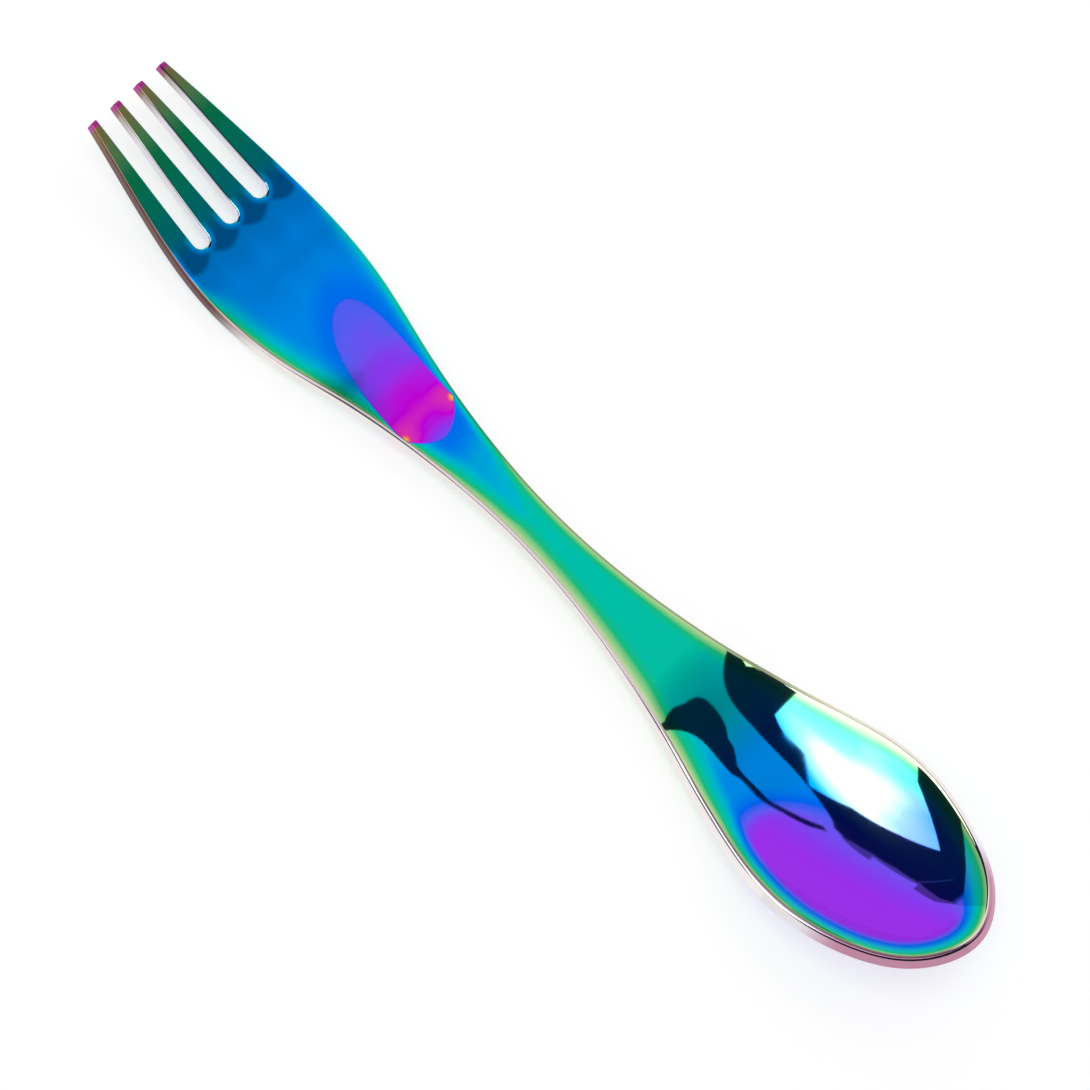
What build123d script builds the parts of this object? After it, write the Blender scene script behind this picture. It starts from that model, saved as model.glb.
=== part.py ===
from build123d import *
import os
from math import cos, pi

# Double-ended spork, pressed from one polished metal blank.
#
# A four-tine fork head and a spoon bowl share one flat handle. The blank is cut to its
# outline, slotted between the tines, and pressed: the palm dips a little, the tines curve
# up, and the bowl is drawn down and lifted towards its tip. The finished sheet is given
# as zones that meet face to face: the handle, the bowl, the palm and each tine.
#
# Frame, in millimetres: +X runs from the tine tips to the bowl's tip, +Y runs across
# and +Z is up, out of the bowl. The origin is the middle of the spork's footprint, on
# the surface that it rests on. While it is modelled, x counts from the middle of the
# blank and z from the flat top of the handle; place() then moves it to that origin.

# ---- driving dimensions (mm) -------------------------------------------------------
overall_length = 195.0        # of the blank, from the tine tips to the bowl's tip
sheet_thickness = 2.2
edge_round = 0.4              # tumbled corners of the sheet

# fork head: places are distances from the tine tips, widths are half widths
fork_length = 62.0            # tips to where the flat handle begins
tine_tip_half_width = 8.8     # over the outer tines, at their tips
fork_shoulder_at = 18.0
fork_shoulder_half_width = 11.95
fork_widest_at = 37.0
fork_half_width = 13.65
fork_taper_at = 49.0
fork_taper_half_width = 12.35
fork_neck_half_width = 9.05   # where the palm meets the handle
slot_count = 3
slot_length = 27.0            # tips to the end of each slot's round root
slot_root_width = 3.1
slot_tip_width = 3.95
slot_root_pitch = 7.0         # between neighbouring slots, at their roots
slot_tip_pitch = 5.45
tine_rise = 5.0               # how far the tips stand above the handle's top
tine_bend_at = 37.0           # where the tines begin to curve up
tine_sweep = 0.85             # share of a half wave that the tine's curve covers
palm_dip = 1.0                # how far the palm's middle lies below the handle's top
palm_rim_rise = 0.15          # how far the palm's rim stands above its middle
palm_deepest_at = 38.0
palm_dip_fade = 32.0          # length over which the dip runs out along the tines

# handle: the places of its shoulders and neck are shares of the handle's own length
fork_side_shoulder_share = 0.23
fork_side_shoulder_half_width = 6.0
neck_share = 0.52
neck_half_width = 4.35
bowl_side_shoulder_share = 0.80
bowl_side_shoulder_half_width = 5.55

# spoon bowl: places are distances from the bowl's tip, widths are half widths
bowl_length = 68.0            # tip to where the flat handle ends
bowl_neck_half_width = 7.95   # where the bowl meets the handle
bowl_flare_at = 51.0
bowl_flare_half_width = 12.4
bowl_shoulder_at = 41.0
bowl_shoulder_half_width = 15.45
bowl_widest_at = 26.5
bowl_half_width = 18.0
bowl_toe_at = 13.0            # where the rounded toe begins
bowl_toe_half_width = 15.1
bowl_toe_end_at = 5.2
bowl_toe_end_half_width = 10.5
bowl_deepest_at = 32.0
bowl_depth = 1.75             # of the lowest point, below the handle's top
bowl_tip_rise = 10.2          # of the tip, above the handle's top
bowl_tip_curl = 0.54          # share of the tip's lift that comes from its last curl
bowl_cross_curve = 0.021      # curvature across the bowl at its lowest point (1/mm)
bowl_toe_cross_curve = 0.062  # curvature across the bowl at its tip (1/mm)
bowl_wall_steepness = 0.22    # how much the side walls steepen beyond a parabola
bowl_dish_length = 45.0       # length over which the bowl's hollow opens out

# ---- how the pressed surfaces are described ----------------------------------------
surface_margin = 2.0          # how far each surface runs past the outline
surface_step = 1.5            # spacing of the points that a surface goes through
surface_tolerance = 0.001
punch_reach = 30.0            # how far the cutting prisms reach above and below
on_cut_tolerance = 0.01       # an edge this near to a cut between zones lies on it

# ---- derived places ----------------------------------------------------------------
tine_tip_x = -overall_length / 2
bowl_tip_x = overall_length / 2
palm_end_x = tine_tip_x + fork_length
bowl_start_x = bowl_tip_x - bowl_length
handle_length = bowl_start_x - palm_end_x
bowl_deepest_x = bowl_tip_x - bowl_deepest_at
slot_root_radius = slot_root_width / 2
tine_root_x = tine_tip_x + slot_length - slot_root_radius  # where the round roots begin
tine_count = slot_count + 1
inner_tine_tip_width = slot_tip_pitch - slot_tip_width
outer_slot_tip_y = slot_tip_pitch * (slot_count - 1) / 2 + slot_tip_width / 2
outer_tine_tip_width = tine_tip_half_width - outer_slot_tip_y
thinnest = min(sheet_thickness, inner_tine_tip_width, outer_tine_tip_width)
corner_round = min(edge_round, 0.3 * thinnest)             # limited by the thinnest wall


def smooth(share):
    """Ease from 0 to 1 as share goes from 0 to 1, level at both ends."""
    share = min(max(share, 0.0), 1.0)
    return share * share * (3.0 - 2.0 * share)


def fork_height(x, y):
    """Height of the fork head's top surface above the handle's top."""
    from_tip = x - tine_tip_x
    along_bend = max(0.0, (tine_bend_at - from_tip) / tine_bend_at)
    sweep = tine_sweep * pi
    rise = tine_rise * (1 - cos(sweep * along_bend)) / (1 - cos(sweep))
    opening = smooth((fork_length - from_tip) / (fork_length - palm_deepest_at))
    fading = smooth((from_tip - palm_deepest_at + palm_dip_fade) / palm_dip_fade)
    dip = palm_dip - palm_rim_rise * (y / fork_half_width) ** 2
    return rise - opening * fading * dip


def bowl_height(x, y):
    """Height of the bowl's top surface above the handle's top."""
    sink = smooth((x - bowl_start_x) / (bowl_deepest_x - bowl_start_x))
    beyond = max(0.0, (x - bowl_deepest_x) / bowl_deepest_at)
    lift = (1 - bowl_tip_curl) * beyond ** 2 + bowl_tip_curl * beyond ** 4
    centre = -bowl_depth * sink + (bowl_tip_rise + bowl_depth) * lift
    curve = bowl_cross_curve * smooth((x - bowl_start_x) / bowl_dish_length)
    curve += (bowl_toe_cross_curve - bowl_cross_curve) * beyond ** 2
    steepening = 1 + bowl_wall_steepness * (y / bowl_half_width) ** 2
    return centre + curve * y * y / 2 * steepening


def outline():
    """The blank's outline in plan, through half widths at stations along it."""
    fork = [
        (0.0, tine_tip_half_width),
        (fork_shoulder_at, fork_shoulder_half_width),
        (fork_widest_at, fork_half_width),
        (fork_taper_at, fork_taper_half_width),
        (fork_length, fork_neck_half_width),
    ]
    handle = [
        (fork_side_shoulder_share, fork_side_shoulder_half_width),
        (neck_share, neck_half_width),
        (bowl_side_shoulder_share, bowl_side_shoulder_half_width),
    ]
    bowl = [
        (bowl_length, bowl_neck_half_width),
        (bowl_flare_at, bowl_flare_half_width),
        (bowl_shoulder_at, bowl_shoulder_half_width),
        (bowl_widest_at, bowl_half_width),
        (bowl_toe_at, bowl_toe_half_width),
        (bowl_toe_end_at, bowl_toe_end_half_width),
        (0.0, 0.0),
    ]
    stations = [(tine_tip_x + place, half) for place, half in fork]
    stations += [(palm_end_x + share * handle_length, half) for share, half in handle]
    stations += [(bowl_tip_x - place, half) for place, half in bowl]
    flare = (fork_shoulder_half_width - tine_tip_half_width) / fork_shoulder_at
    far_side = Spline(stations, tangents=[(1, flare), (0, -1)])
    near_side = far_side.mirror(Plane.XZ)
    tips = Line((tine_tip_x, -tine_tip_half_width), (tine_tip_x, tine_tip_half_width))
    return make_face([far_side, near_side, tips])


def slot(index):
    """One slot between two tines: round at its root and open at the tips."""
    side = index - (slot_count - 1) / 2
    root_y = side * slot_root_pitch
    tip_y = side * slot_tip_pitch
    low_root = (tine_root_x, root_y - slot_root_radius)
    high_root = (tine_root_x, root_y + slot_root_radius)
    low_tip = (tine_tip_x, tip_y - slot_tip_width / 2)
    high_tip = (tine_tip_x, tip_y + slot_tip_width / 2)
    return make_face([
        Line(low_tip, low_root),
        ThreePointArc(low_root, (tine_root_x + slot_root_radius, root_y), high_root),
        Line(high_root, high_tip),
        Line(high_tip, low_tip),
    ])


def blank():
    """The flat blank in plan: its outline, less the slots."""
    flat = outline()
    for index in range(slot_count):
        flat -= slot(index)
    return flat


def zone(flat, low_x, high_x):
    """The part of the blank between two places along it."""
    middle = Pos((low_x + high_x) / 2, 0)
    return flat & middle * Rectangle(high_x - low_x, 4 * bowl_half_width)


def spaced(low, high):
    """Evenly spaced values from low to high, about surface_step apart."""
    count = max(2, round((high - low) / surface_step))
    return [low + (high - low) * i / count for i in range(count + 1)]


def pressed_surface(height, low_x, high_x):
    """The top surface of a pressed zone, over a rectangle in plan."""
    half_width = max(fork_half_width, bowl_half_width) + surface_margin
    points = [[(x, y, height(x, y)) for y in spaced(-half_width, half_width)]
              for x in spaced(low_x, high_x)]
    return Face.make_surface_from_array_of_points(
        points, tol=surface_tolerance, min_deg=3, max_deg=5)


def press(shape, surface):
    """Sheet of the given plan shape, pressed to a surface, its edges square to it."""
    punch = extrude(Pos(0, 0, -punch_reach) * shape, amount=2 * punch_reach)
    top = (surface & punch).faces()[0]
    return Solid.thicken(top, sheet_thickness, normal_override=(0, 0, -1))


def round_corners(solid, cuts):
    """Round a zone's corners, apart from those on its cuts at the given x places."""
    def on_cut(edge):
        box = edge.bounding_box()
        return any(abs(box.min.X - x) < on_cut_tolerance
                   and abs(box.max.X - x) < on_cut_tolerance for x in cuts)
    return solid.fillet(corner_round, [edge for edge in solid.edges() if not on_cut(edge)])


def make_handle(flat):
    """The flat handle, the one part of the blank that isn't pressed."""
    shape = zone(flat, palm_end_x, bowl_start_x)
    bar = extrude(shape, amount=-sheet_thickness).solids()[0]
    return round_corners(bar, (palm_end_x, bowl_start_x))


def beyond_cut(solid, x, keep):
    """The solids of a sheet on one side of a cut across it, in order of y."""
    pieces = solid.split(Plane(origin=(x, 0, 0), z_dir=(1, 0, 0)), keep=keep)
    solids = pieces if isinstance(pieces, list) else pieces.solids()
    return ShapeList(solids).sort_by(Axis.Y)


def make_bowl(flat):
    """The spoon bowl, from the end of the flat handle to its tip."""
    low_x = bowl_start_x - surface_margin
    surface = pressed_surface(bowl_height, low_x, bowl_tip_x + surface_margin)
    sheet = press(zone(flat, low_x, bowl_tip_x), surface)
    shell = beyond_cut(sheet, bowl_start_x, Keep.TOP)[0]
    return round_corners(shell, (bowl_start_x,))


def make_fork(flat):
    """The palm and the tines, cut apart where the slots' round roots begin."""
    high_x = palm_end_x + surface_margin
    surface = pressed_surface(fork_height, tine_tip_x - surface_margin, high_x)
    sheet = press(zone(flat, tine_tip_x, high_x), surface)
    head = beyond_cut(sheet, palm_end_x, Keep.BOTTOM)[0]
    palm = beyond_cut(head, tine_root_x, Keep.TOP)[0]
    tines = beyond_cut(head, tine_root_x, Keep.BOTTOM)
    return (round_corners(palm, (tine_root_x, palm_end_x)),
            [round_corners(tine, (tine_root_x,)) for tine in tines])


def place(nodes):
    """Move every node, so that the origin is the middle of the footprint."""
    box = Compound(list(nodes.values())).bounding_box()
    to_origin = Pos(-box.center().X, 0, -box.min.Z)
    return {name: to_origin * node for name, node in nodes.items()}


def make_spork():
    """All the nodes of the spork, by name."""
    flat = blank()
    palm, tines = make_fork(flat)
    nodes = {
        "handle": make_handle(flat),
        "spoon_bowl": make_bowl(flat),
        "fork_palm": palm,
    }
    for number, tine in enumerate(tines, start=1):
        nodes[f"tine_{number}"] = tine
    return place(nodes)


if __name__ == "__main__":
    os.makedirs("parts", exist_ok=True)
    for name, node in make_spork().items():
        node.label = name
        export_step(node, f"parts/{name}.step")
        print(name, round(node.volume, 1), "mm3")
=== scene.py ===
"""Looks of the double-ended spork: a mirror-polished steel blank with a rainbow film.

Every length below is in millimetres until it becomes a mesh, and in the frame of the
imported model: +X from the tine tips to the bowl's tip, +Y across, +Z up, with the
surface that the spork rests on at z = 0.
"""
from math import cos, pi, radians, sin

import bpy
import numpy as np
from mathutils import Matrix, Vector


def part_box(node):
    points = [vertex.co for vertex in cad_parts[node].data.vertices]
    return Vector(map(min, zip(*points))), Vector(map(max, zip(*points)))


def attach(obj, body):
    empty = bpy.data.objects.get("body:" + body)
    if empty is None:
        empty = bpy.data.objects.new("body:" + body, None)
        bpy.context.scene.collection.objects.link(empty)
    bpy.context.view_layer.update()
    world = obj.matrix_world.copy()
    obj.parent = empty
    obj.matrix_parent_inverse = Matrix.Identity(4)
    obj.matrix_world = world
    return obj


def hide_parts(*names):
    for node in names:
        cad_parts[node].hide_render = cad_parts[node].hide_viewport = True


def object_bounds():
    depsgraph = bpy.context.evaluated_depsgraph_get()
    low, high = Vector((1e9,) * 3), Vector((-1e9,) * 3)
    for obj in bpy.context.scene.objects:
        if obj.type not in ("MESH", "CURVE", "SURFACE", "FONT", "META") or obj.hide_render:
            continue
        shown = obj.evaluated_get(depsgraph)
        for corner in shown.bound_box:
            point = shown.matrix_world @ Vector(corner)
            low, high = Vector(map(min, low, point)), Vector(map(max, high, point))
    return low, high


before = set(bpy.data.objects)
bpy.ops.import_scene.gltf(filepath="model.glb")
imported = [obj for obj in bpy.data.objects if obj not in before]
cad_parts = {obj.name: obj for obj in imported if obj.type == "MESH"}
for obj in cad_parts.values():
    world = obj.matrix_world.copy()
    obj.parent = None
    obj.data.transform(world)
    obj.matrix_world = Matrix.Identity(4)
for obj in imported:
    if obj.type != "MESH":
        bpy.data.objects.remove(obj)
cad_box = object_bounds()
MM = 0.001

# ---- the blank's driving sizes, mm -------------------------------------------------
handle_low, handle_high = (np.array(corner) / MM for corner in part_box("handle"))
palm_end_x, bowl_start_x = handle_low[0], handle_high[0]
handle_length = bowl_start_x - palm_end_x
handle_top_z = handle_high[2]
sheet = handle_high[2] - handle_low[2]

fork_length = 62.0
tine_tip_half_width = 8.8
fork_shoulder_at, fork_shoulder_half_width = 18.0, 11.95
fork_widest_at, fork_half_width = 37.0, 13.65
fork_taper_at, fork_taper_half_width = 49.0, 12.35
fork_neck_half_width = 9.05
slot_count = 3
slot_length = 27.0
slot_root_width, slot_tip_width = 3.1, 3.95
slot_root_pitch, slot_tip_pitch = 7.0, 5.45
palm_lobe_length = 1.9
tine_rise, tine_bend_at, tine_sweep = 5.0, 37.0, 0.62
palm_dip, palm_rim_rise = 1.0, 0.08
palm_deepest_at, palm_dip_fade = 38.0, 32.0

bowl_length = 68.0
bowl_neck_half_width = 7.95
bowl_half_width = 18.0
bowl_deepest_at, bowl_depth = 40.5, 1.75
bowl_tip_rise, bowl_tip_curl = 10.2, 0.695
bowl_cross_curve, bowl_toe_cross_curve = 0.0188, 0.041
bowl_wall_steepness = 0.4
bowl_sink_length, bowl_dish_length = 24.0, 17.3

tine_tip_x = palm_end_x - fork_length
bowl_tip_x = bowl_start_x + bowl_length
bowl_deepest_x = bowl_tip_x - bowl_deepest_at
slot_root_radius = slot_root_width / 2
tine_root_x = tine_tip_x + slot_length - slot_root_radius
tine_count = slot_count + 1

# half widths of the blank: distance from the tine tips, share of the handle's length,
# and distance from the bowl's tip
FORK_OUTLINE = (
    (0.0, tine_tip_half_width),
    (fork_shoulder_at, fork_shoulder_half_width),
    (fork_widest_at, fork_half_width),
    (fork_taper_at, fork_taper_half_width),
    (fork_length, fork_neck_half_width),
)
HANDLE_OUTLINE = ((0.23, 6.0), (0.52, 4.35), (0.80, 5.55))
BOWL_OUTLINE = (
    (bowl_length, bowl_neck_half_width),
    (51.0, 12.4),
    (41.0, 15.45),
    (26.5, bowl_half_width),
    (13.0, 15.1),
    (5.2, 10.5),
    (0.0, 0.0),
)

# ---- how the edges of the sheet are rounded, mm ------------------------------------
# (distance from the tine tips, how far in and how far down the top corner reaches)
CORNER = (
    (0.0, 0.30, 0.30),
    (22.0, 0.50, 0.45),
    (40.0, 0.80, 0.70),
    (135.0, 0.80, 0.70),
    (195.0, 0.70, 0.60),
)
tine_corner = 0.3             # top corner along the slots and across the tips
root_corner_reach = 0.5       # how far in the top corner reaches at a slot's root
under_corner = 0.3            # bottom corner, everywhere
corner_steps = 8
under_steps = 3
tip_corner_steps = 4

# ---- mesh density ------------------------------------------------------------------
columns_per_tine = 10
row_step = 1.0                # mm along the outline
root_steps = 8                # rows round half of a slot's root


# ====================================================================================
# Shape
# ====================================================================================
def smooth(share):
    """Ease from 0 to 1 as share goes from 0 to 1, level at both ends."""
    share = np.clip(share, 0.0, 1.0)
    return share * share * (3.0 - 2.0 * share)


def smoother(share):
    """Ease like smooth, with the curvature even at both ends as well."""
    share = np.clip(share, 0.0, 1.0)
    return share ** 3 * (share * (6.0 * share - 15.0) + 10.0)


def fork_height(x, y):
    """Height of the fork head's top surface above the handle's top."""
    from_tip = x - tine_tip_x
    along_bend = np.maximum(0.0, (tine_bend_at - from_tip) / tine_bend_at)
    sweep = tine_sweep * pi
    rise = tine_rise * (1 - np.cos(sweep * along_bend)) / (1 - cos(sweep))
    opening = smooth((fork_length - from_tip) / (fork_length - palm_deepest_at))
    fading = smooth((from_tip - palm_deepest_at + palm_dip_fade) / palm_dip_fade)
    dip = palm_dip - palm_rim_rise * (y / fork_half_width) ** 2
    return rise - opening * fading * dip


def bowl_height(x, y):
    """Height of the bowl's top surface above the handle's top."""
    sink = smoother((x - bowl_start_x) / bowl_sink_length)
    beyond = np.maximum(0.0, (x - bowl_deepest_x) / bowl_deepest_at)
    lift = (1 - bowl_tip_curl) * beyond ** 2 + bowl_tip_curl * beyond ** 4
    centre = -bowl_depth * sink + (bowl_tip_rise + bowl_depth) * lift
    curve = bowl_cross_curve * smoother((x - bowl_start_x) / bowl_dish_length)
    curve = curve + (bowl_toe_cross_curve - bowl_cross_curve) * beyond ** 2
    steepening = 1 + bowl_wall_steepness * (y / bowl_half_width) ** 2
    return centre + curve * y * y / 2 * steepening


def height(x, y):
    """Height of the whole top surface above the resting surface."""
    pressed = np.where(x < palm_end_x, fork_height(x, y), 0.0)
    return handle_top_z + np.where(x > bowl_start_x, bowl_height(x, y), pressed)


def surface_normal(x, y):
    """Unit normals of the top surface, one row for each point."""
    step = 0.01
    slope_x = (height(x + step, y) - height(x - step, y)) / (2 * step)
    slope_y = (height(x, y + step) - height(x, y - step)) / (2 * step)
    return unit(np.stack([-slope_x, -slope_y, np.ones_like(slope_x)], axis=-1))


def unit(vectors):
    return vectors / np.linalg.norm(vectors, axis=-1, keepdims=True)


def curve_through(points, start, end, step):
    """Points and unit tangents, about step apart, along a smooth curve through points."""
    points = np.array(points)
    chords = np.linalg.norm(np.diff(points, axis=0), axis=1)
    count = len(points)
    matrix = np.eye(count)
    target = np.zeros((count, 2))
    target[0], target[-1] = unit(np.array(start)), unit(np.array(end))
    for i in range(1, count - 1):
        before, after = chords[i - 1], chords[i]
        matrix[i, i - 1:i + 2] = after, 2 * (before + after), before
        target[i] = 3 * (after / before * (points[i] - points[i - 1])
                         + before / after * (points[i + 1] - points[i]))
    slopes = np.linalg.solve(matrix, target)
    places, tangents = [points[:1]], [slopes[:1]]
    for i, chord in enumerate(chords):
        share = np.linspace(0, 1, max(2, round(chord / step)) + 1)[1:, None]
        p0, p1 = points[i], points[i + 1]
        m0, m1 = slopes[i] * chord, slopes[i + 1] * chord
        places.append(p0 * (2 * share ** 3 - 3 * share ** 2 + 1)
                      + m0 * (share ** 3 - 2 * share ** 2 + share)
                      + p1 * (3 * share ** 2 - 2 * share ** 3)
                      + m1 * (share ** 3 - share ** 2))
        tangents.append(p0 * (6 * share ** 2 - 6 * share)
                        + m0 * (3 * share ** 2 - 4 * share + 1)
                        + p1 * (6 * share - 6 * share ** 2)
                        + m1 * (3 * share ** 2 - 2 * share))
    return np.concatenate(places), unit(np.concatenate(tangents))


def outline_stations():
    """The near side of the outline, from the tine tips to the bowl's tip."""
    stations = [(tine_tip_x + at, half) for at, half in FORK_OUTLINE]
    stations += [(palm_end_x + share * handle_length, half)
                 for share, half in HANDLE_OUTLINE]
    stations += [(bowl_tip_x - at, half) for at, half in BOWL_OUTLINE]
    flare = (fork_shoulder_half_width - tine_tip_half_width) / fork_shoulder_at
    return [(x, -half) for x, half in stations], (1.0, -flare), (0.0, 1.0)


class Edge:
    """A place on the blank's edge: where it is, which way it faces, and its corner."""

    def __init__(self, place, outward, reach, drop):
        self.place = np.array(place, float)
        self.outward = unit(np.array(outward, float))
        self.reach, self.drop = reach, drop

    @property
    def inset(self):
        return self.place - self.reach * self.outward

    def mirrored(self):
        """The same place on the far side of the spork."""
        flip = np.array([1.0, -1.0])
        return Edge(self.place * flip, self.outward * flip, self.reach, self.drop)


def corner_at(x):
    """Reach and drop of the outline's top corner at a place along the spork."""
    at, reach, drop = zip(*CORNER)
    return (float(np.interp(x - tine_tip_x, at, reach)),
            float(np.interp(x - tine_tip_x, at, drop)))


def outline_edges(tine_xs):
    """Edges of the near side: at the given x first, then about row_step apart."""
    points, start, end = outline_stations()
    places, tangents = curve_through(points, start, end, row_step / 4)
    lengths = np.concatenate(
        [[0], np.cumsum(np.linalg.norm(np.diff(places, axis=0), axis=1))])
    cuts = [tine_xs[-1], palm_end_x, bowl_start_x]
    marks = [np.interp(x, places[:, 0], lengths) for x in cuts] + [lengths[-1]]
    stations = [np.interp(tine_xs[:-1], places[:, 0], lengths)]
    for low, high in zip(marks[:-1], marks[1:]):
        stations.append(np.linspace(low, high, round((high - low) / row_step) + 1)[:-1])
    edges = []
    for length in np.concatenate(stations + [lengths[-1:]]):
        x, y, along_x, along_y = (
            np.interp(length, lengths, values)
            for values in (*places.T, *tangents.T))
        edges.append(Edge((x, y), (along_y, -along_x), *corner_at(x)))
    rows_to_palm_end = len(stations[0]) + len(stations[1])
    return edges, rows_to_palm_end, rows_to_palm_end + len(stations[2])


def slot_edges(index):
    """The lower side of one slot, from the tips to the middle of its round root."""
    side = index - (slot_count - 1) / 2
    root_y, tip_y = side * slot_root_pitch, side * slot_tip_pitch
    tip = np.array([tine_tip_x, tip_y - slot_tip_width / 2])
    root = np.array([tine_root_x, root_y - slot_root_radius])
    run = root - tip
    edges = []
    for x in straight_xs:
        place = tip + run * (x - tine_tip_x) / run[0]
        edges.append(Edge(place, (-run[1], run[0]), tine_corner, tine_corner))
    for step in range(1, root_steps + 1):
        turn = step / root_steps * pi / 2
        outward = np.array([-sin(turn), cos(turn)])
        place = np.array([tine_root_x, root_y]) - slot_root_radius * outward
        share = sin(turn) ** 2
        reach = tine_corner + (root_corner_reach - tine_corner) * share
        edges.append(Edge(place, outward, reach, tine_corner))
    return edges


tine_rows = round((tine_root_x - tine_tip_x) / row_step)
straight_xs = np.linspace(tine_tip_x + tine_corner, tine_root_x, tine_rows + 1)
apex_row = tine_rows + root_steps
root_turns = np.arange(1, root_steps + 1) / root_steps * pi / 2
root_xs = tine_root_x + (slot_root_radius + root_corner_reach) * np.sin(root_turns)

near_edges, palm_end_row, bowl_start_row = outline_edges(
    np.concatenate([straight_xs, root_xs]))
far_edges = [edge.mirrored() for edge in near_edges]
slot_low_edges = [slot_edges(index) for index in range(slot_count)]
slot_high_edges = [[edge.mirrored() for edge in edges]
                   for edges in reversed(slot_low_edges)]
tine_low_edges = [near_edges] + slot_high_edges
tine_high_edges = slot_low_edges + [far_edges]


class Sheet:
    """Vertices of the whole blank, and the faces of each of its pieces."""

    def __init__(self):
        self.plans, self.depths, self.outwards = [], [], []
        self.turns, self.gaps = [], []
        self.faces = {}
        self.cuts = {}

    def add(self, plan, depth, outward, turn, gap):
        """A vertex below the top surface, whose normal leans from up towards outward."""
        self.plans.append(plan)
        self.depths.append(depth)
        self.outwards.append(outward)
        self.turns.append(turn)
        self.gaps.append(gap)
        return len(self.plans) - 1

    def settle(self):
        """Work out every vertex's place and normal, once they have all been added."""
        x, y = np.array(self.plans).T
        up = surface_normal(x, y)
        outward = np.array(self.outwards)
        sideways = np.stack([-outward[:, 1], outward[:, 0], 0 * x], axis=-1)
        turn = np.array(self.turns)[:, None]
        self.normals = up * np.cos(turn) + unit(np.cross(sideways, up)) * np.sin(turn)
        top = np.stack([x, y, height(x, y)], axis=-1)
        places = top - up * np.array(self.depths)[:, None]
        self.places = np.clip(places, *(np.array(corner) / MM for corner in cad_box))
        self.sides = np.abs(np.sin(turn))[:, 0]
        self.facings = outward[:, 1]

    def face(self, piece, *corners):
        """A smooth face; corners that repeat are dropped."""
        kept = [corner for i, corner in enumerate(corners) if corner != corners[i - 1]]
        if len(set(kept)) > 2:
            self.faces.setdefault(piece, []).append(kept)

    def cut(self, low_piece, high_piece, corners):
        """A hidden face between two pieces, given as seen from the higher one."""
        self.cuts.setdefault(low_piece, []).append(list(corners))
        self.cuts.setdefault(high_piece, []).append(list(reversed(corners)))


def gap_to_edge(plan, edge_places):
    return float(np.min(np.linalg.norm(edge_places - plan, axis=1)))


def piece_of(row, tine):
    """Name of the piece that holds the faces between a row and the next."""
    if row < tine_rows:
        return f"tine_{tine + 1}"
    if row < palm_end_row:
        return "fork_palm"
    return "handle" if row < bowl_start_row else "spoon_bowl"


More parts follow.
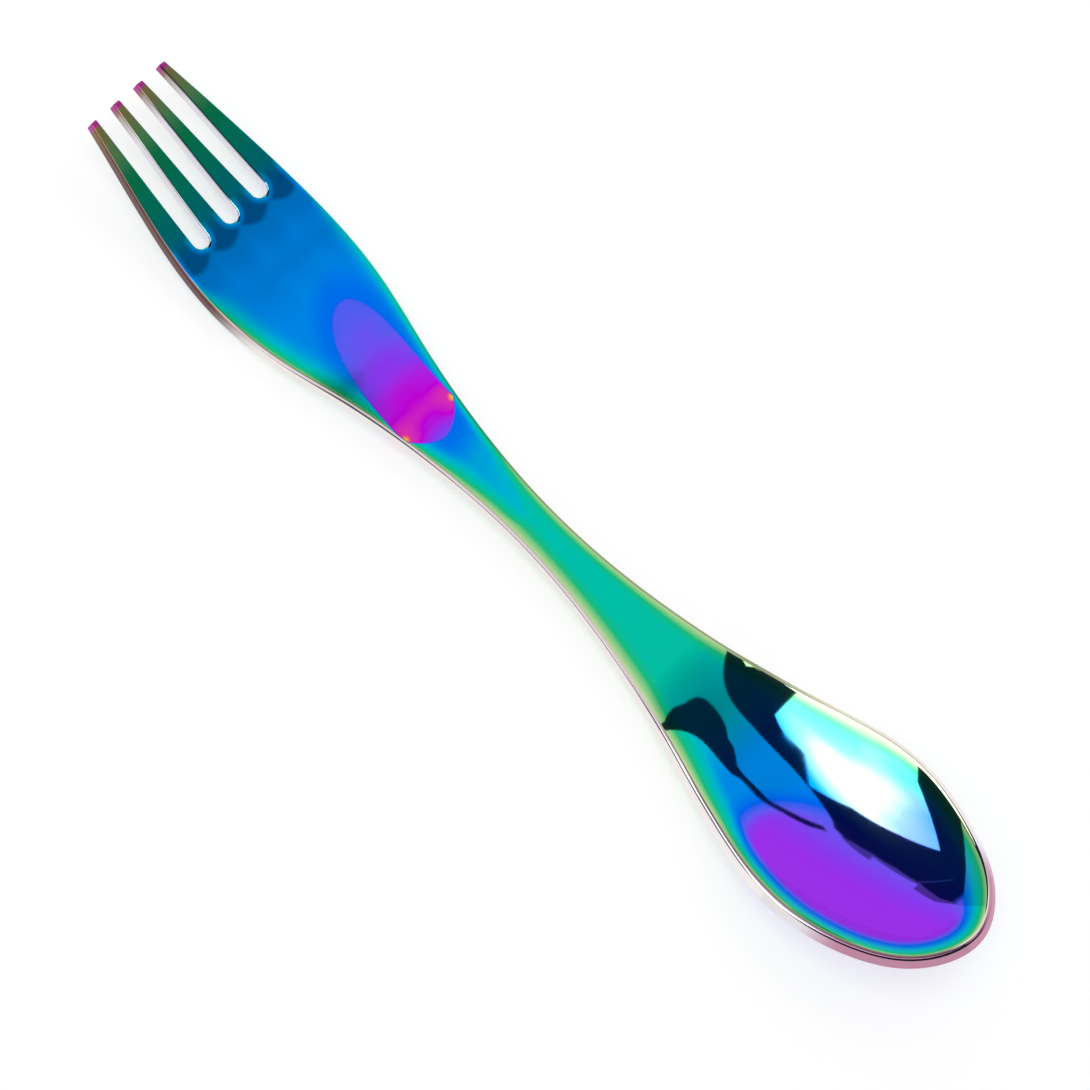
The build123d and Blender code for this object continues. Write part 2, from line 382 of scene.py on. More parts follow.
def build_sheet():
    """Both skins, the rounded rim, and the hidden faces between the pieces."""
    sheet_mesh = Sheet()
    all_edges = near_edges + far_edges
    for edges in slot_low_edges + slot_high_edges:
        all_edges = all_edges + edges
    tips = [np.array([tine_tip_x, y])
            for tine in range(tine_count)
            for y in np.linspace(tine_low_edges[tine][0].place[1],
                                 tine_high_edges[tine][0].place[1], columns_per_tine)]
    edge_places = np.array([edge.place for edge in all_edges] + tips)
    under = {}
    level = np.array([1.0, 0.0])

    def skin_vertex(plan):
        gap = gap_to_edge(plan, edge_places)
        top = sheet_mesh.add(plan, 0.0, level, 0.0, gap)
        under[top] = sheet_mesh.add(plan, sheet, level, pi, gap)
        return top

    # rows of skin vertices, as one strip for each tine
    rows = []
    for row in range(apex_row + 1):
        strips = []
        for tine in range(tine_count):
            low, high = tine_low_edges[tine][row].inset, tine_high_edges[tine][row].inset
            shares = np.linspace(0, 1, columns_per_tine + 1)
            if row == apex_row and tine > 0:
                shared = strips[-1][-1]
                strip = [shared] + [skin_vertex(low + (high - low) * share)
                                    for share in shares[1:]]
            else:
                strip = [skin_vertex(low + (high - low) * share) for share in shares]
            strips.append(strip)
        rows.append(strips)
    apex_line = [vertex for tine, strip in enumerate(rows[apex_row])
                 for vertex in strip[(tine > 0):]]
    ys = np.array([sheet_mesh.plans[vertex][1] for vertex in apex_line])
    shares = (ys - ys[0]) / (ys[-1] - ys[0])
    for near, far in zip(near_edges[apex_row + 1:-1], far_edges[apex_row + 1:-1]):
        line = [skin_vertex(near.inset + (far.inset - near.inset) * share)
                for share in shares]
        rows.append([line[tine * columns_per_tine:(tine + 1) * columns_per_tine + 1]
                     for tine in range(tine_count)])
    toe = skin_vertex(near_edges[-1].inset)
    rows.append([[toe] * (columns_per_tine + 1) for tine in range(tine_count)])

    for row, (strips, next_strips) in enumerate(zip(rows[:-1], rows[1:])):
        for tine, (strip, ahead) in enumerate(zip(strips, next_strips)):
            for column in range(columns_per_tine):
                corners = (strip[column], ahead[column],
                           ahead[column + 1], strip[column + 1])
                piece = piece_of(row, tine)
                sheet_mesh.face(piece, *corners)
                sheet_mesh.face(piece, *(under[corner] for corner in reversed(corners)))

    # the rim: a ring of vertices at each edge place, from the top skin to the lower one
    def ring(edge, top):
        ring_vertices = [top]
        for step in range(1, corner_steps + 1):
            turn = step / corner_steps * pi / 2
            plan = edge.inset + edge.reach * sin(turn) * edge.outward
            lean = np.arctan2(edge.drop * sin(turn), edge.reach * cos(turn))
            depth = edge.drop * (1 - cos(turn))
            gap = edge.reach * (1 - sin(turn))
            ring_vertices.append(sheet_mesh.add(plan, depth, edge.outward, lean, gap))
        for step in range(under_steps + 1):
            turn = step / under_steps * pi / 2
            plan = edge.place - under_corner * (1 - cos(turn)) * edge.outward
            depth = sheet - under_corner * (1 - sin(turn))
            ring_vertices.append(
                sheet_mesh.add(plan, depth, edge.outward, pi / 2 + turn, 0.0))
        return ring_vertices + [under[top]]

    def join(piece, first, second):
        for upper, lower in zip(range(len(first) - 1), range(1, len(first))):
            sheet_mesh.face(piece, first[upper], first[lower],
                            second[lower], second[upper])

    def side_rings(edges, strip_index, tine_of_row):
        return [ring(edge, rows[row][tine_of_row][strip_index])
                for row, edge in enumerate(edges)]

    last_tine = tine_count - 1
    low_rings = [side_rings(tine_low_edges[tine], 0, tine) for tine in range(tine_count)]
    high_rings = [side_rings(tine_high_edges[tine], -1, tine) for tine in range(tine_count)]
    high_rings[last_tine][-1] = low_rings[0][-1]
    for tine in range(1, tine_count):
        low_rings[tine][-1] = high_rings[tine - 1][-1]
    for tine in range(tine_count):
        for row in range(len(low_rings[tine]) - 1):
            join(piece_of(row, tine), low_rings[tine][row], low_rings[tine][row + 1])
        for row in range(len(high_rings[tine]) - 1):
            join(piece_of(row, tine), high_rings[tine][row + 1], high_rings[tine][row])

    # the tine tips, with their two upright corners rounded as far as the top is
    for tine in range(tine_count):
        strip = rows[0][tine]
        high_edge, low_edge = tine_high_edges[tine][0], tine_low_edges[tine][0]
        high_angle = np.arctan2(high_edge.outward[1], high_edge.outward[0])
        low_angle = np.arctan2(low_edge.outward[1], low_edge.outward[0]) + 2 * pi
        inset_turns = [(strip[-1], angle)
                       for angle in np.linspace(high_angle, pi, tip_corner_steps + 1)[1:]]
        inset_turns += [(vertex, pi) for vertex in reversed(strip[1:-1])]
        inset_turns += [(strip[0], angle)
                        for angle in np.linspace(pi, low_angle, tip_corner_steps + 1)[:-1]]
        previous = high_rings[tine][0]
        for vertex, angle in inset_turns:
            outward = np.array([cos(angle), sin(angle)])
            plan = sheet_mesh.plans[vertex]
            edge = Edge(plan + tine_corner * outward, outward, tine_corner, tine_corner)
            following = ring(edge, vertex)
            join(piece_of(0, tine), previous, following)
            previous = following
        join(piece_of(0, tine), previous, low_rings[tine][0])

    def close_cut(row, tines):
        """Hidden faces across the sheet at one row, over a run of tine strips."""
        for tine in tines:
            low_piece, high_piece = piece_of(row - 1, tine), piece_of(row, tine)
            strip = rows[row][tine]
            for first, second in zip(strip[:-1], strip[1:]):
                sheet_mesh.cut(low_piece, high_piece,
                               (first, under[first], under[second], second))
        low_piece, high_piece = piece_of(row - 1, tines[0]), piece_of(row, tines[0])
        sheet_mesh.cut(low_piece, high_piece, low_rings[tines[0]][row])
        low_piece, high_piece = piece_of(row - 1, tines[-1]), piece_of(row, tines[-1])
        sheet_mesh.cut(low_piece, high_piece, high_rings[tines[-1]][row][::-1])

    for tine in range(tine_count):
        close_cut(tine_rows, [tine])
    close_cut(palm_end_row, list(range(tine_count)))
    close_cut(bowl_start_row, list(range(tine_count)))
    sheet_mesh.settle()
    return sheet_mesh


def make_piece(sheet_mesh, node, material):
    """One piece of the spork as a closed mesh object with exact normals."""
    smooth_faces, cut_faces = sheet_mesh.faces[node], sheet_mesh.cuts[node]
    faces = smooth_faces + cut_faces
    used = sorted({corner for face in faces for corner in face})
    new_index = {corner: index for index, corner in enumerate(used)}
    mesh = bpy.data.meshes.new(f"{node}_polished")
    mesh.from_pydata([sheet_mesh.places[corner] * MM for corner in used], [],
                     [[new_index[corner] for corner in face] for face in faces])
    mesh.polygons.foreach_set("use_smooth", [True] * len(faces))
    for name, values in (("edge_gap", sheet_mesh.gaps), ("side_face", sheet_mesh.sides),
                         ("faces_far", sheet_mesh.facings)):
        attribute = mesh.attributes.new(name, "FLOAT", "POINT")
        attribute.data.foreach_set("value", [values[corner] for corner in used])
    corner_normals = [sheet_mesh.normals[corner] for face in smooth_faces
                      for corner in face]
    for polygon in mesh.polygons[len(smooth_faces):]:
        corner_normals += [polygon.normal.copy()] * polygon.loop_total
    mesh.normals_split_custom_set([tuple(normal) for normal in corner_normals])
    mesh.materials.append(material)
    piece = bpy.data.objects.new(f"{node}_polished", mesh)
    bpy.context.scene.collection.objects.link(piece)
    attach(piece, "root")
    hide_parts(node)
    return piece


# ====================================================================================
# Finish
# ====================================================================================
class Field:
    """A number that varies over the surface, so that a formula of nodes reads as one."""

    def __init__(self, tree, socket):
        self.tree, self.socket = tree, socket

    def math(self, operation, *others):
        node = self.tree.nodes.new("ShaderNodeMath")
        node.operation = operation
        for slot_index, value in enumerate((self,) + others):
            if isinstance(value, Field):
                self.tree.links.new(value.socket, node.inputs[slot_index])
            else:
                node.inputs[slot_index].default_value = value
        return Field(self.tree, node.outputs[0])

    def __add__(self, other):
        return self.math("ADD", other)

    def __sub__(self, other):
        return self.math("SUBTRACT", other)

    def __mul__(self, other):
        return self.math("MULTIPLY", other)

    def __truediv__(self, other):
        return self.math("DIVIDE", other)

    def step(self, low, high, at_low=0.0, at_high=1.0):
        """Ease from at_low to at_high while this field goes from low to high."""
        node = self.tree.nodes.new("ShaderNodeMapRange")
        node.interpolation_type = "SMOOTHSTEP"
        self.tree.links.new(self.socket, node.inputs["Value"])
        for name, value in (("From Min", low), ("From Max", high),
                            ("To Min", at_low), ("To Max", at_high)):
            node.inputs[name].default_value = value
        return Field(self.tree, node.outputs["Result"])

    def band(self, rise_start, rise_end, fall_start, fall_end):
        """Ease from 0 to 1 and, further on, back to 0."""
        return self.step(rise_start, rise_end) * self.step(fall_start, fall_end, 1.0, 0.0)

    def through(self, stops):
        """A smooth curve of this field through stops of (field value, result)."""
        total = None
        for (low, at_low), (high, at_high) in zip(stops[:-1], stops[1:]):
            rise = self.step(low, high, 0.0, at_high - at_low)
            total = rise if total is None else total + rise
        return total + stops[0][1]

    def toward(self, other, share):
        """This field moved towards another by a share."""
        if isinstance(other, Field):
            return self + (other - self) * share
        return self + (self * -1.0 + other) * share


def linear(red, green, blue):
    """Scene-linear colour of one given as it looks on a screen, 0 to 255."""
    shares = np.array([red, green, blue]) / 255
    shares = np.where(shares <= 0.04045, shares / 12.92, ((shares + 0.055) / 1.055) ** 2.4)
    return (*shares.tolist(), 1.0)


# the film's colours in the order in which they follow one another as it changes
FILM = (
    (0.00, (255, 214, 90)),
    (0.05, (243, 140, 60)),
    (0.10, (226, 60, 150)),
    (0.17, (190, 0, 212)),
    (0.26, (136, 56, 238)),
    (0.31, (88, 92, 240)),
    (0.36, (0, 96, 236)),
    (0.44, (0, 136, 228)),
    (0.53, (0, 178, 206)),
    (0.61, (0, 190, 168)),
    (0.69, (24, 186, 122)),
    (0.77, (156, 208, 140)),
    (0.84, (228, 222, 186)),
    (0.88, (242, 234, 228)),
    (0.92, (238, 234, 242)),
    (0.96, (202, 150, 172)),
    (1.00, (160, 70, 130)),
)
# some places in FILM
orange_film, pink_film, royal_blue_film, brown_pink_film = 0.01, 0.115, 0.37, 0.965

# colours laid over the film: the near tine's flank, a painted dark reflection, and the tines'
# tips
FLANK_DARK_REFLECTION = (104, 74, 72)
TIP_BROWN = (128, 100, 58)
TIP_MAGENTA = (168, 56, 138)
WHITE = (1.0, 1.0, 1.0, 1.0)

# In the tables below the first value is the distance from the tine tips, in mm.
# the film along the middle of the spork: place in FILM
FILM_ALONG = (
    (0.0, 0.765), (6.0, 0.735), (11.0, 0.69), (16.0, 0.64), (21.0, 0.57), (27.0, 0.44),
    (34.0, 0.43), (50.0, 0.43), (74.0, 0.44), (84.0, 0.49), (93.0, 0.54), (97.0, 0.605),
    (128.0, 0.62), (138.0, 0.56), (150.0, 0.44), (166.0, 0.41),
)
# painted shade along the spork: the share of the film's colour that is kept, least on the
# tines
PAINTED_SHADE_ALONG = (
    (0.0, 0.5), (3.0, 0.42), (14.0, 0.44), (22.0, 0.36), (27.2, 0.30), (28.4, 0.62),
    (36.0, 0.84), (46.0, 1.0),
)
# width of the fringe that runs from the middle's film to the one at the edge of the
# flat top, and how far that edge lies inside the blank's own, mm
NEAR_FRINGE = (
    (0.0, 0.4), (28.0, 0.5), (38.0, 7.0), (60.0, 8.0), (80.0, 4.8), (110.0, 4.2),
    (134.0, 4.6), (146.0, 6.0), (160.0, 4.4), (195.0, 3.6),
)
FAR_FRINGE = (
    (0.0, 0.4), (28.0, 0.5), (40.0, 4.0), (60.0, 3.4), (80.0, 2.2), (110.0, 2.6),
    (140.0, 3.8), (160.0, 4.6), (195.0, 3.6),
)
EDGE_ROLL = ((0.0, 0.0), (24.0, 0.1), (40.0, 0.3), (195.0, 0.25))
# the film at that edge, and on the rounded rim and the side face below it
NEAR_EDGE_FILM = ((0.0, 0.8), (6.0, 0.66), (28.0, 0.56), (44.0, 0.83), (195.0, 0.85))
FAR_EDGE_FILM = (
    (0.0, 0.8), (6.0, 0.56), (28.0, 0.54), (60.0, 0.68), (76.0, 0.72), (100.0, 0.83),
    (195.0, 0.85),
)
NEAR_RIM_FILM = (
    (0.0, 1.0), (1.0, 0.99), (2.5, 0.925), (30.0, 0.92), (40.0, 0.885), (168.0, 0.895),
    (182.0, 0.965),
)
FAR_RIM_FILM = (
    (0.0, 1.0), (1.0, 0.99), (2.5, 0.60), (20.0, 0.53), (28.0, 0.56), (60.0, 0.68),
    (76.0, 0.72), (96.0, 0.80), (140.0, 0.82), (160.0, 0.87), (182.0, 0.90),
    (192.0, 0.965),
)

scratch_depth = 0.02          # mm

# the bowl's violet, and its far wall with a painted highlight, as ellipses: middle, radii and
# lean
VIOLET = ((176.0, -6.2), (23.8, 14.0), 0.20)
FAR_WALL = ((163.0, 11.0), (24.0, 6.5), -0.12)

# the palm's coloured patch: where the line between its two marks lies, how far it
# reaches before and beyond that line, its half width, and how far it leans and lies aside
patch_marks_at, patch_length, patch_lobe = 72.5, 24.5, 4.2
patch_half_width, patch_lean, patch_aside = 6.3, 3.6, 0.3
mark_inset, mark_aside, MARK_RADII = 0.3, 0.25, (4.6, 5.4)
PATCH_ALONG = (
    (48.0, 0.325), (56.0, 0.295), (62.0, 0.255), (67.0, 0.18), (71.0, 0.15),
    (73.2, 0.19), (76.0, 0.27),
)


def surface_fields(tree):
    """Place in mm, distances along and across the blank and from its edge, and how far
    the surface leans and to which side."""
    place = tree.nodes.new("ShaderNodeTexCoord")
    in_mm = tree.nodes.new("ShaderNodeVectorMath")
    in_mm.operation = "SCALE"
    in_mm.inputs["Scale"].default_value = 1 / MM
    tree.links.new(place.outputs["Object"], in_mm.inputs[0])
    axes = tree.nodes.new("ShaderNodeSeparateXYZ")
    tree.links.new(in_mm.outputs[0], axes.inputs[0])
    x, y = (Field(tree, axes.outputs[index]) for index in (0, 1))
    attributes = []
    for name in ("edge_gap", "side_face", "faces_far"):
        node = tree.nodes.new("ShaderNodeAttribute")
        node.attribute_name = name
        attributes.append(Field(tree, node.outputs["Fac"]))
    return in_mm.outputs[0], x - tine_tip_x, y, *attributes


def noise(tree, place, scale, detail=2.0, stretch=(1.0, 1.0, 1.0)):
    """Soft noise from 0 to 1, with scale features in a millimetre."""
    mapping = tree.nodes.new("ShaderNodeMapping")
    mapping.inputs["Scale"].default_value = stretch
    tree.links.new(place, mapping.inputs["Vector"])
    node = tree.nodes.new("ShaderNodeTexNoise")
    node.inputs["Scale"].default_value = scale
    node.inputs["Detail"].default_value = detail
    tree.links.new(mapping.outputs[0], node.inputs["Vector"])
    return Field(tree, node.outputs["Fac"])


def distance(along, across, centre, radii, lean=0.0):
    """Distance from a centre, in units of an ellipse's two radii."""
    away, aside = along - centre[0], across - centre[1]
    long_way = (away * cos(lean) + aside * sin(lean)) / radii[0]
    short_way = (aside * cos(lean) - away * sin(lean)) / radii[1]
    return (long_way * long_way + short_way * short_way).math("SQRT")


def blend(tree, blend_type, share, first, second):
    """Colour socket of one colour mixed with another; each may be fixed or a field."""
    node = tree.nodes.new("ShaderNodeMix")
    node.data_type = "RGBA"
    node.blend_type = blend_type
    for identifier, value in (("Factor_Float", share), ("A_Color", first),
                              ("B_Color", second)):
        socket = next(s for s in node.inputs if s.identifier == identifier)
        if isinstance(value, Field):
            tree.links.new(value.socket, socket)
        elif isinstance(value, bpy.types.NodeSocket):
            tree.links.new(value, socket)
        else:
            socket.default_value = value
    return next(s for s in node.outputs if s.identifier == "Result_Color")


def film_place(tree, place, along, across, gap, side, facing):
    """Where the film stands in FILM at each point, and the place in the FAR_WALL ellipse."""
    # on the handle the blue ends in a rounded tongue
    tongue = (across + 1.0) * (across + 1.0) * 0.5
    tongue = tongue * along.band(80.0, 90.0, 100.0, 110.0)
    film = (along + tongue).through(FILM_ALONG)
    film = film + (noise(tree, place, 0.045, 1.0) - 0.5) * 0.008

    # the bowl: blue to violet towards its near side and toe
    violet = distance(along, across, *VIOLET)
    violet_film = (across - along * 0.2 + 32.0).step(-10.0, 4.0, 0.235, 0.325)
    film = film.toward(violet_film, violet.step(0.72, 1.06, 1.0, 0.0))
    far_wall = distance(along, across, *FAR_WALL)
    far_film = along.step(160.0, 178.0, 0.56, 0.38)
    film = film.toward(far_film, far_wall.step(0.5, 1.3, 1.0, 0.0))

    # towards each edge the film runs on through green to cream
    farther = across.step(-1.0, 1.0)
    width = along.through(NEAR_FRINGE).toward(along.through(FAR_FRINGE), farther)
    edge_film = along.through(NEAR_EDGE_FILM).toward(along.through(FAR_EDGE_FILM), farther)
    inside = (gap - along.through(EDGE_ROLL)) / width
    inward = inside.math("MAXIMUM", 0.0).math("MINIMUM", 1.0) * -1.0 + 1.0
    falling = along.step(60.0, 92.0, 3.2, 1.4)
    patch_film, patch, round_patch = palm_patch(along, across)
    film = film.toward(royal_blue_film, round_patch)
    film = film.toward(edge_film, inward.math("POWER", falling))
    film = film.toward(patch_film, patch)

    # the rim: a thin brown-pink line painted on the near corner as a painted reflection, then
    # the side face's own film
    rim_film = along.through(NEAR_RIM_FILM)
    rim_film = rim_film.toward(along.through(FAR_RIM_FILM), facing.step(-0.3, 0.3))
    line = near_corner(along, side, facing) * side.step(0.1, 0.3)
    film = film.toward(brown_pink_film, line)
    return film.toward(rim_film, side.step(0.25, 0.55)), far_wall


def facing_near(facing):
    """Share of the rim that looks to the near side."""
    return facing.step(-0.5, -0.1, 1.0, 0.0)


def near_corner(along, side, facing):
    """Share of the near edge's top corner, which mirrors the brightest softbox."""
    lean = side.band(0.05, 0.14, 0.5, 0.64)
    return lean * facing_near(facing) * along.step(30.0, 42.0)


def palm_patch(along, across):
    """The palm's coloured patch: its film, the share inside it, and the share round it."""
    # it widens from its rounded end to the line between the two marks, then closes
    before = (along * -1.0 + patch_marks_at).math("MAXIMUM", 0.0) / patch_length
    beyond = (along - patch_marks_at).math("MAXIMUM", 0.0) / patch_lobe
    aside = (across - before * before * patch_lean + patch_aside) / patch_half_width
    squared = before * before
    edge = squared * squared + beyond + aside * aside

    # violet far from the marks, magenta and pink between them, orange right at them
    film = along.through(PATCH_ALONG) + aside * aside * 0.03
    for side in (-1, 1):
        mark = (patch_marks_at, side * (patch_half_width - mark_inset) - mark_aside)
        near_mark = distance(along, across, mark, MARK_RADII)
        film = film.toward(pink_film, near_mark.step(0.1, 1.1, 0.9, 0.0))
        film = film.toward(orange_film, near_mark.step(0.02, 0.27, 1.0, 0.0))
    return film, edge.step(0.88, 1.0, 1.0, 0.0), edge.step(0.9, 2.6, 0.85, 0.0)


def film_painted_shade(along, across, gap, side, facing):
    """Painted shade and highlight: the share of the film's colour kept at each point of the
    surface.
    """
    # on the palm the painted shade ends in a lobe between each two slots, with a painted
    # highlight as a halo round each
    lobe = (across * (pi / slot_root_pitch)).math("SINE").math("ABSOLUTE")
    lobed = along - lobe * along.step(23.0, 28.0, 0.0, palm_lobe_length)
    root_highlight = gap.step(0.3, 1.5, 0.75, 0.0) * along.band(23.0, 25.0, 30.0, 32.0)
    depth = lobed.through(PAINTED_SHADE_ALONG).toward(1.0, side.step(0.4, 0.8)).toward(1.0, root_highlight)

    # painted shade and dark lines: the near corner, the line below it, and the handle's far
    # edge are darker
    depth = depth.toward(0.36, near_corner(along, side, facing))
    line = side.band(0.60, 0.68, 0.76, 0.86) * along.step(40.0, 60.0)
    depth = depth.toward(0.5, line * facing_near(facing))
    handle_far_shade = facing.step(0.1, 0.5) * along.band(56.0, 76.0, 140.0, 155.0)
    return depth.toward(0.5, handle_far_shade * side.step(0.1, 0.3))


def film_colour(tree, place, along, across, gap, side, facing):
    """Colour socket of the coated steel, with painted shade, highlights and reflections in
    it.
    """
    film, far_wall = film_place(tree, place, along, across, gap, side, facing)
    ramp = tree.nodes.new("ShaderNodeValToRGB")
    elements = ramp.color_ramp.elements
    for _ in range(len(FILM) - len(elements)):
        elements.new(0.5)
    for element, (position, colour) in zip(elements, FILM):
        element.position = position
        element.color = linear(*colour)
    tree.links.new(film.socket, ramp.inputs["Fac"])

    # on the bowl's far wall the film is thin, and it is whitened in streaks by a painted
    # highlight
    painted_highlight = far_wall.step(0.5, 1.2) * -1.0 + 1.0
    painted_highlight = painted_highlight * gap.step(2.5, 8.0, 0.16, 0.44) * along.step(166.0, 180.0, 1.0, 0.6)
    streaks = noise(tree, place, 0.11, 2.0, (0.45, 1.0, 1.0))
    painted_highlight = painted_highlight * streaks.step(0.36, 0.6, 0.5, 1.1)
    highlighted = blend(tree, "MIX", painted_highlight, ramp.outputs["Color"], WHITE)
    # the painted shade darkens the film's colour
    depth = film_painted_shade(along, across, gap, side, facing)
    coated = blend(tree, "MULTIPLY", 1.0, highlighted, depth)

    # the near tine's outer flank with a painted dark reflection, and the tips of all four
    flank_reflection = across.step(-8.2, -6.8, 1.0, 0.0) * along.step(34.0, 46.0, 1.0, 0.0)
    flank_reflection = flank_reflection * side.step(0.1, 0.4) * facing_near(facing)
    coated = blend(tree, "MIX", flank_reflection, coated, linear(*FLANK_DARK_REFLECTION))
    coated = blend(tree, "MIX", along.step(1.0, 8.0, 0.7, 0.0), coated, linear(*TIP_BROWN))
    tip = along.step(0.7, 1.4, 1.0, 0.0)
    return blend(tree, "MIX", tip, coated, linear(*TIP_MAGENTA))


def rainbow_steel():
    """Mirror-polished steel under an interference film, with fine scratches."""
    material = bpy.data.materials.new("rainbow_steel")
    material.use_nodes = True
    tree = material.node_tree
    tree.nodes.clear()
    place, along, across, gap, side, facing = surface_fields(tree)
    coated = film_colour(tree, place, along, across, gap, side, facing)

    scratches = noise(tree, place, 2.2, 3.0, (0.35, 6.0, 1.0))
    smears = noise(tree, place, 0.12, 3.0)
    roughness = smears.step(0.35, 0.75, 0.035, 0.05) + scratches.step(0.62, 0.8, 0.0, 0.03)
    bump = tree.nodes.new("ShaderNodeBump")
    bump.inputs["Strength"].default_value = 0.02
    bump.inputs["Distance"].default_value = scratch_depth * MM
    tree.links.new(scratches.socket, bump.inputs["Height"])

    shader = tree.nodes.new("ShaderNodeBsdfPrincipled")
    shader.inputs["Metallic"].default_value = 1.0
    tree.links.new(coated, shader.inputs["Base Color"])
    tree.links.new(roughness.socket, shader.inputs["Roughness"])
    tree.links.new(bump.outputs["Normal"], shader.inputs["Normal"])
    output = tree.nodes.new("ShaderNodeOutputMaterial")
    tree.links.new(shader.outputs[0], output.inputs["Surface"])
    return material


# ====================================================================================
# Studio
# ====================================================================================
def emission(name):
    """A white glow, as strong as the mesh's own glow values say."""
    material = bpy.data.materials.new(name)
    material.use_nodes = True
    tree = material.node_tree
    tree.nodes.clear()
    shader = tree.nodes.new("ShaderNodeEmission")
    glow = tree.nodes.new("ShaderNodeAttribute")
    glow.attribute_name = "glow"
    tree.links.new(glow.outputs["Fac"], shader.inputs["Strength"])
    output = tree.nodes.new("ShaderNodeOutputMaterial")
    tree.links.new(shader.outputs[0], output.inputs["Surface"])
    return material


panel_height, card_height = 1400.0, 150.0   # mm above the table
panel_centre = 65.0           # mm along the spork: the panels' corners count from here


def softbox(name, corners, glow, high=panel_height):
    """A flat softbox overhead: its corners are slopes up from panel_centre.

    The glow is one value for all of it, or a list with one for each corner.
    """
    glows = glow if isinstance(glow, list) else [glow] * len(corners)
    mesh = bpy.data.meshes.new(name)
    places = [((panel_centre + slope_x * high) * MM, slope_y * high * MM, high * MM)
              for slope_x, slope_y in corners]
    quads = [list(range(start, start + 4)) for start in range(0, len(corners), 4)]
    mesh.from_pydata(places, [], quads)
    attribute = mesh.attributes.new("glow", "FLOAT", "POINT")
    attribute.data.foreach_set("value", glows)
    mesh.materials.append(emission(name))
    panel = bpy.data.objects.new(name, mesh)
    bpy.context.scene.collection.objects.link(panel)
    panel.visible_camera = False
    panel.visible_shadow = False
    return panel


def strip(lower, upper):
    """Quads between two lines of corners of the same length."""
    corners = []
    for i in range(len(lower) - 1):
        corners += [lower[i], lower[i + 1], upper[i + 1], upper[i]]
    return corners


def graded_strip(stations):
    """Quads and glows of a strip; each station is x, low y, high y and glow."""
    corners = strip([(x, low) for x, low, high, glow in stations],
                    [(x, high) for x, low, high, glow in stations])
    glows = []
    for first, second in zip(stations[:-1], stations[1:]):
        glows += [first[3], second[3], second[3], first[3]]
    return corners, glows


def card(low_x, high_x, low_y, high_y):
    """Corners, as slopes at card_height, of a card given in mm."""
    slopes_x = [(x - panel_centre) / card_height for x in (low_x, high_x)]
    slopes_y = [y / card_height for y in (low_y, high_y)]
    return strip([(x, slopes_y[0]) for x in slopes_x], [(x, slopes_y[1]) for x in slopes_x])


# The panels' corners are slopes up from panel_centre.
# the big softbox beyond the spork: x, its lower edge's y, and its dimmer rim's width
FAR_EDGE = (
    (-2.6, 0.60, 0.0), (-1.9, 0.56, 0.02), (-1.3, 0.50, 0.09), (-0.8, 0.37, 0.11),
    (-0.5, 0.355, 0.10), (-0.3, 0.38, 0.07), (-0.2, 0.41, 0.05), (-0.12, 0.45, 0.0),
    (-0.09, 0.495, 0.0), (-0.05, 0.575, 0.0), (0.0, 0.655, 0.0), (0.03, 0.72, 0.0),
    (0.06, 0.77, 0.0), (0.90, 0.77, 0.0),
)
far_edge_top = 2.4
# the slim one between it and the near one, dimmer towards the fork: x, lower y,
# higher y and glow
SLIM_STATIONS = (
    (-0.095, 0.43, 0.45, 1.0), (-0.08, 0.40, 0.475, 1.0), (-0.05, 0.375, 0.52, 1.0),
    (0.0, 0.345, 0.605, 1.0), (0.03, 0.335, 0.67, 0.9), (0.07, 0.335, 0.65, 0.80),
    (0.10, 0.335, 0.60, 0.74), (0.14, 0.335, 0.56, 0.68), (0.20, 0.34, 0.545, 0.62),
    (0.24, 0.345, 0.50, 0.57), (0.27, 0.35, 0.48, 0.52), (0.30, 0.36, 0.47, 0.45),
)
BRIDGE_STATIONS = ((-0.135, 0.435, 0.495, 1.0), (-0.075, 0.435, 0.495, 1.0))
# how bright the others are
far_rim_glow, streak_glow, near_glow, near_fill_glow, toe_fill_glow = 0.33, 0.2, 2.6, 0.8, 0.7


def make_lights():
    """The softboxes and cards that the steel mirrors and that light the table."""
    softbox("far_softbox", *graded_strip(
        [(x, low + rim, far_edge_top, 1.0) for x, low, rim in FAR_EDGE]))
    softbox("far_softbox_rim", *graded_strip(
        [(x, low, low + rim, far_rim_glow) for x, low, rim in FAR_EDGE]))
    softbox("slim_softbox", *graded_strip(SLIM_STATIONS))
    softbox("bridge_card", *graded_strip(BRIDGE_STATIONS))
    softbox("streak_card", strip([(-1.25, 0.09), (-0.75, 0.375)],
                                 [(-1.25, 0.11), (-0.75, 0.40)]), streak_glow)

    # the near one, bright, almost overhead
    softbox("near_softbox", strip(
        [(-0.77, -0.15), (-0.45, -0.50), (-0.35, -0.62), (-0.33, -0.95), (0.0, -0.95),
         (0.03, -0.95), (0.10, -0.95)],
        [(-0.77, -0.15), (-0.45, 0.01), (-0.35, 0.06), (-0.10, 0.21), (0.0, 0.335),
         (0.03, 0.19), (0.10, 0.14)]), near_glow)

    # low fill on the near side and beyond the bowl's toe
    softbox("near_fill", strip([(-0.9, -2.4), (0.14, -2.4)], [(-0.35, -1.0), (0.1, -1.0)]),
            near_fill_glow)
    softbox("toe_fill", strip(
        [(-3.5, 0.60), (-3.5, 0.0), (-3.2, -1.2), (-2.0, -2.2)],
        [(-2.05, 0.60), (-1.5, 0.0), (-1.2, -0.40), (-0.95, -0.85)]), toe_fill_glow)

    # a small card close above the handle's far side, seen only in the handle
    handle_card = softbox("handle_card", card(-34.0, 30.0, 60.0, 80.0), 1.0, card_height)
    handle_card.visible_diffuse = False


# the world's light, low down and overhead, and the heights between which it changes,
# as the upward part of a unit direction
low_light, overhead_light = 0.9, 0.07
overhead_from, overhead_to = 0.42, 0.52
OVERHEAD_TINT = (0.25, 0.5, 1.0, 1.0)


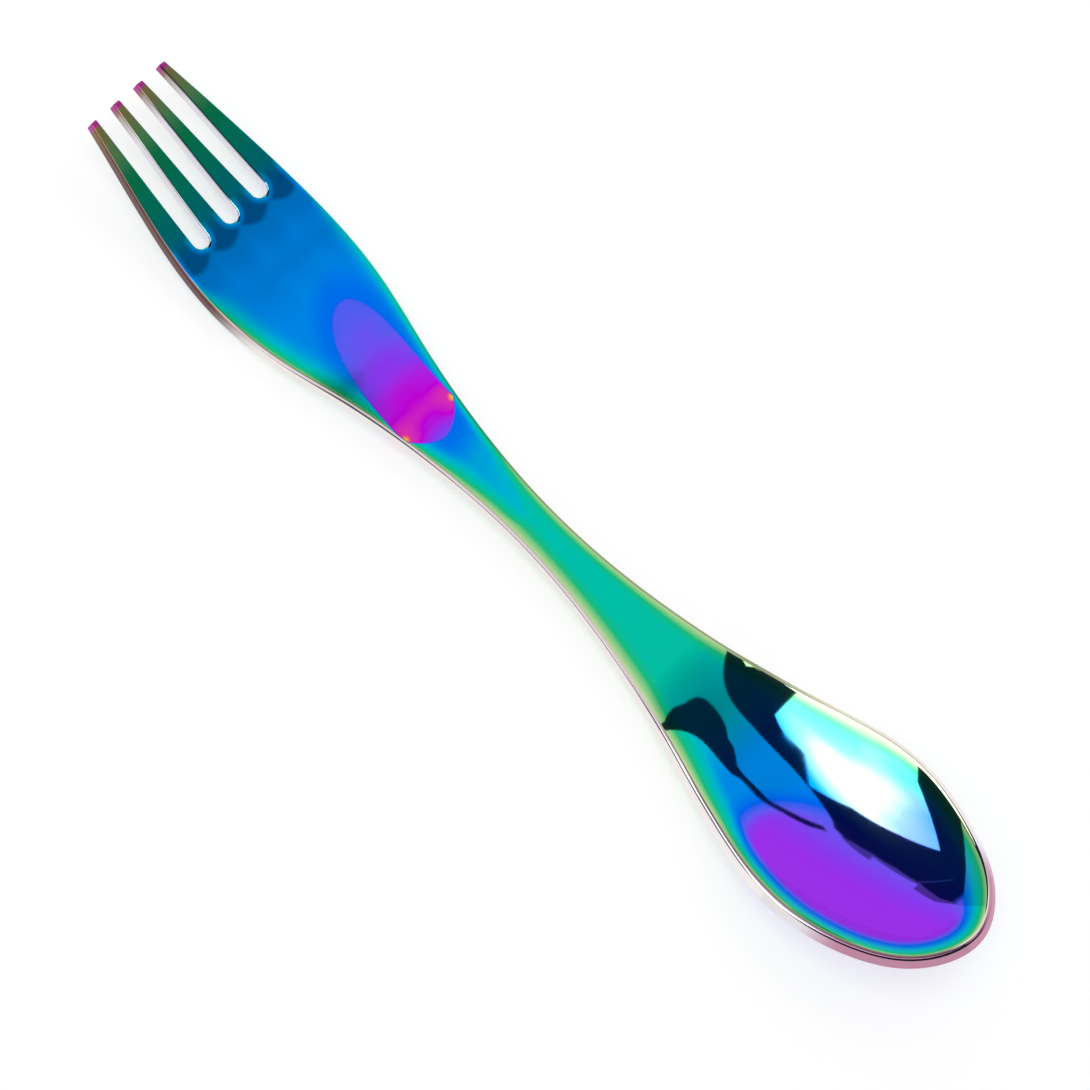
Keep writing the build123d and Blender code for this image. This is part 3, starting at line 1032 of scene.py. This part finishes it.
def make_world():
    """A white studio: bright low down all round, dark overhead between the softboxes."""
    world = bpy.data.worlds.new("studio")
    bpy.context.scene.world = world
    world.use_nodes = True
    tree = world.node_tree
    tree.nodes.clear()
    direction = tree.nodes.new("ShaderNodeTexCoord")
    axes = tree.nodes.new("ShaderNodeSeparateXYZ")
    tree.links.new(direction.outputs["Generated"], axes.inputs[0])
    overhead = Field(tree, axes.outputs[2]).step(overhead_from, overhead_to)
    level = overhead.step(0.0, 1.0, low_light, overhead_light)
    path = tree.nodes.new("ShaderNodeLightPath")
    seen, mirrored = (Field(tree, path.outputs[name])
                      for name in ("Is Camera Ray", "Is Glossy Ray"))
    background = tree.nodes.new("ShaderNodeBackground")
    tint = blend(tree, "MIX", overhead * mirrored, WHITE, OVERHEAD_TINT)
    tree.links.new(tint, background.inputs["Color"])
    tree.links.new(level.toward(1.0, seen).socket, background.inputs["Strength"])
    output = tree.nodes.new("ShaderNodeOutputWorld")
    tree.links.new(background.outputs[0], output.inputs["Surface"])


table_reach = 3.0             # m each way
PAPER = (0.93, 0.93, 0.93, 1.0)
table_lift = 0.5              # share of plain white in the table, for camera and mirrors
table_white = 1.33            # strength of that white


def make_floor():
    """White table: it keeps the spork's soft shadow and is white where nothing shades it."""
    mesh = bpy.data.meshes.new("table")
    mesh.from_pydata([(x * table_reach, y * table_reach, 0.0) for x, y in
                      ((-1, -1), (1, -1), (1, 1), (-1, 1))], [], [(0, 1, 2, 3)])
    material = bpy.data.materials.new("white_table")
    material.use_nodes = True
    tree = material.node_tree
    tree.nodes.clear()
    paper = tree.nodes.new("ShaderNodeBsdfDiffuse")
    paper.inputs["Color"].default_value = PAPER
    white = tree.nodes.new("ShaderNodeEmission")
    white.inputs["Strength"].default_value = table_white
    path = tree.nodes.new("ShaderNodeLightPath")
    seen, mirrored = (Field(tree, path.outputs[name])
                      for name in ("Is Camera Ray", "Is Glossy Ray"))
    lift = seen.math("MAXIMUM", mirrored) * table_lift
    mix = tree.nodes.new("ShaderNodeMixShader")
    tree.links.new(lift.socket, mix.inputs[0])
    tree.links.new(paper.outputs[0], mix.inputs[1])
    tree.links.new(white.outputs[0], mix.inputs[2])
    output = tree.nodes.new("ShaderNodeOutputMaterial")
    tree.links.new(mix.outputs[0], output.inputs["Surface"])
    mesh.materials.append(material)
    table = bpy.data.objects.new("table", mesh)
    bpy.context.scene.collection.objects.link(table)


# ---- camera: looks down at 65 degrees from the near side, turned on its own axis ----
camera_from_upright = radians(25.0)
camera_round = radians(3.145)
camera_roll = radians(42.614)
camera_distance = 850.0
camera_target = (2.503, -1.322, 3.951)
frame_pixels = 1090.0         # the photograph is square
focal_pixels = 5184.36
sensor_width = 36.0


def make_camera():
    back = Vector((sin(camera_from_upright) * sin(camera_round),
                   -sin(camera_from_upright) * cos(camera_round),
                   cos(camera_from_upright)))
    level = Vector((0.0, 0.0, 1.0)).cross(back).normalized()
    upward = back.cross(level)
    right = level * cos(camera_roll) + upward * sin(camera_roll)
    up = upward * cos(camera_roll) - level * sin(camera_roll)
    data = bpy.data.cameras.new("camera")
    data.sensor_width = sensor_width
    data.lens = focal_pixels / frame_pixels * sensor_width
    data.clip_start = 0.01
    camera = bpy.data.objects.new("camera", data)
    bpy.context.scene.collection.objects.link(camera)
    turn = Matrix((right, up, back)).transposed()
    place = (Vector(camera_target) + back * camera_distance) * MM
    camera.matrix_world = Matrix.Translation(place) @ turn.to_4x4()
    bpy.context.scene.camera = camera


# ====================================================================================
# Build
# ====================================================================================
spork = build_sheet()
film_on_steel = rainbow_steel()
for node in spork.faces:
    make_piece(spork, node, film_on_steel)
make_floor()
make_lights()
make_world()
make_camera()
bpy.context.scene.view_settings.view_transform = "Standard"
